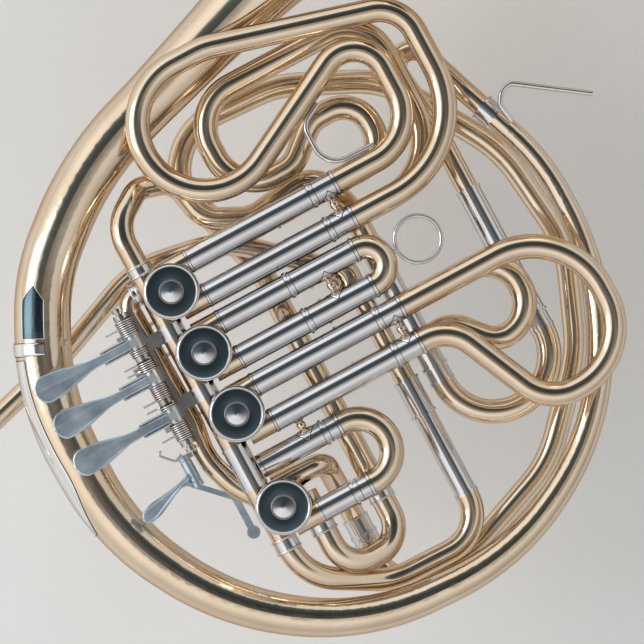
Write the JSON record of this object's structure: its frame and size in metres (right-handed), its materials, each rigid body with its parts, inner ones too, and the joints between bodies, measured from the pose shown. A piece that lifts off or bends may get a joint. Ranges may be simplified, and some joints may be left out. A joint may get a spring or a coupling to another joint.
{
  "type": "double horn with mouthpiece",
  "caption": "Brass double horn with rotary valves, finger and thumb levers, pull slides and a removable silver mouthpiece in its leadpipe receiver.",
  "frame": {"origin": "on the axis of the middle finger valve, at mid height of the valve row", "axes": "+X along the valve slides, away from the finger levers, +Y along the valve row towards the first valve, +Z out of the valve caps"},
  "size_m": [0.6082, 0.5657, 0.3136],
  "materials": {
    "brass": "lacquered and polished",
    "nickel": "polished nickel silver",
    "silver_plate": "silver plated",
    "lever_steel": "brushed",
    "spring_steel": "polished wire",
    "cap": "polished",
    "stop_cork": "matt"
  },
  "bodies": {
    "horn": {"tuning_inlet": "brass", "first_branch": "brass", "change_crooks": "brass", "extension_coil": "brass", "change_elbow": "brass", "side_tube": "brass", "leadpipe": "brass", "bell_tail": "brass", "bell_flare": "brass", "bell_rim": "brass", "valve_1_casing": "brass", "valve_2_casing": "brass", "valve_3_casing": "brass", "change_valve_casing": "brass", "bearing_plates": "brass", "first_slide_sleeves": "nickel", "second_slide_sleeves": "nickel", "third_slide_sleeves": "nickel", "change_slide_sleeves": "nickel", "tuning_slide_sleeves": "nickel", "rear_slide_sleeves": "nickel", "valve_links": "nickel", "long_leg": "nickel", "long_leg_sleeve": "nickel", "mouthpiece_receiver": "nickel", "tail_ferrule": "nickel", "finger_hook": "nickel", "lever_hinge": "lever_steel", "thumb_bracket": "lever_steel", "lever_springs": "spring_steel", "valve_caps": "cap", "stop_corks": "stop_cork"},
    "finger_lever_1": {"finger_lever_1": "lever_steel"},
    "finger_lever_2": {"finger_lever_2": "lever_steel"},
    "finger_lever_3": {"finger_lever_3": "lever_steel"},
    "thumb_lever": {"thumb_lever": "lever_steel"},
    "rotor_1": {"rotor_1": "brass", "stop_arm_1": "nickel"},
    "rotor_2": {"rotor_2": "brass", "stop_arm_2": "nickel"},
    "rotor_3": {"rotor_3": "brass", "stop_arm_3": "nickel"},
    "rotor_4": {"rotor_4": "brass", "stop_arm_4": "nickel"},
    "first_slide": {"first_slide_legs": "nickel", "first_slide_bow": "brass", "first_slide_hook": "nickel"},
    "second_slide": {"second_slide_legs": "nickel", "second_slide_bow": "brass", "second_slide_ring": "nickel"},
    "third_slide": {"third_slide_legs": "nickel", "third_slide_bow": "brass"},
    "rear_slide_1": {"rear_slide_1": "brass"},
    "rear_slide_2": {"rear_slide_2": "brass"},
    "rear_slide_3": {"rear_slide_3": "brass"},
    "tuning_slide": {"tuning_slide_legs": "nickel", "tuning_slide_bow": "brass"},
    "change_slide": {"change_slide_legs": "nickel", "change_slide_bow": "brass"},
    "mouthpiece": {"mouthpiece": "silver_plate"}
  },
  "joints": [
    {"name": "finger_1_press", "type": "hinge", "parent": "horn", "child": "finger_lever_1", "pos_m": [-0.0315, 0.023, 0.008], "axis": [0, -1, 0], "range_deg": [0, 12], "stiffness_Nm_per_rad": 0.15, "springref_deg": -20.05},
    {"name": "finger_2_press", "type": "hinge", "parent": "horn", "child": "finger_lever_2", "pos_m": [-0.0315, 0.0009, 0.008], "axis": [0, -1, 0], "range_deg": [0, 12], "stiffness_Nm_per_rad": 0.15, "springref_deg": -20.05},
    {"name": "finger_3_press", "type": "hinge", "parent": "horn", "child": "finger_lever_3", "pos_m": [-0.0315, -0.0223, 0.008], "axis": [0, -1, 0], "range_deg": [0, 12], "stiffness_Nm_per_rad": 0.15, "springref_deg": -20.05},
    {"name": "thumb_press", "type": "hinge", "parent": "horn", "child": "thumb_lever", "pos_m": [-0.0378, -0.054, 0], "axis": [0, -1, 0], "range_deg": [0, 12], "stiffness_Nm_per_rad": 0.15, "springref_deg": -20.05},
    {"name": "rotor_1_turn", "type": "hinge", "parent": "horn", "child": "rotor_1", "pos_m": [0, 0.038, 0], "axis": [0, 0, 1], "range_deg": [0, 90]},
    {"name": "rotor_2_turn", "type": "hinge", "parent": "horn", "child": "rotor_2", "pos_m": [0, 0, 0], "axis": [0, 0, 1], "range_deg": [0, 90]},
    {"name": "rotor_3_turn", "type": "hinge", "parent": "horn", "child": "rotor_3", "pos_m": [0, -0.038, 0], "axis": [0, 0, 1], "range_deg": [0, 90]},
    {"name": "rotor_4_turn", "type": "hinge", "parent": "horn", "child": "rotor_4", "pos_m": [-0.0015, -0.095, 0], "axis": [0, 0, 1], "range_deg": [0, 90]},
    {"name": "first_slide_pull", "type": "slide", "parent": "horn", "child": "first_slide", "axis": [1, 0, 0], "range_m": [0, 0.02]},
    {"name": "second_slide_pull", "type": "slide", "parent": "horn", "child": "second_slide", "axis": [1, 0, 0], "range_m": [0, 0.02]},
    {"name": "third_slide_pull", "type": "slide", "parent": "horn", "child": "third_slide", "axis": [1, 0, 0], "range_m": [0, 0.02]},
    {"name": "rear_slide_1_pull", "type": "slide", "parent": "horn", "child": "rear_slide_1", "axis": [1, 0, 0], "range_m": [0, 0.008]},
    {"name": "rear_slide_2_pull", "type": "slide", "parent": "horn", "child": "rear_slide_2", "axis": [1, 0, 0], "range_m": [0, 0.015]},
    {"name": "rear_slide_3_pull", "type": "slide", "parent": "horn", "child": "rear_slide_3", "axis": [1, 0, 0], "range_m": [0, 0.015]},
    {"name": "tuning_slide_pull", "type": "slide", "parent": "horn", "child": "tuning_slide", "axis": [0, -1, 0], "range_m": [0, 0.015]},
    {"name": "change_slide_pull", "type": "slide", "parent": "horn", "child": "change_slide", "axis": [1, 0, 0], "range_m": [0, 0.02]},
    {"name": "mouthpiece_pull", "type": "slide", "parent": "horn", "child": "mouthpiece", "axis": [-0.9651, -0.262, 0], "range_m": [0, 0.025]}
  ],
  "couplings": [
    {"joint": "rotor_1_turn", "follows": "finger_1_press", "ratio": 7.5},
    {"joint": "rotor_2_turn", "follows": "finger_2_press", "ratio": 7.5},
    {"joint": "rotor_3_turn", "follows": "finger_3_press", "ratio": 7.5},
    {"joint": "rotor_4_turn", "follows": "thumb_press", "ratio": 7.5}
  ]
}
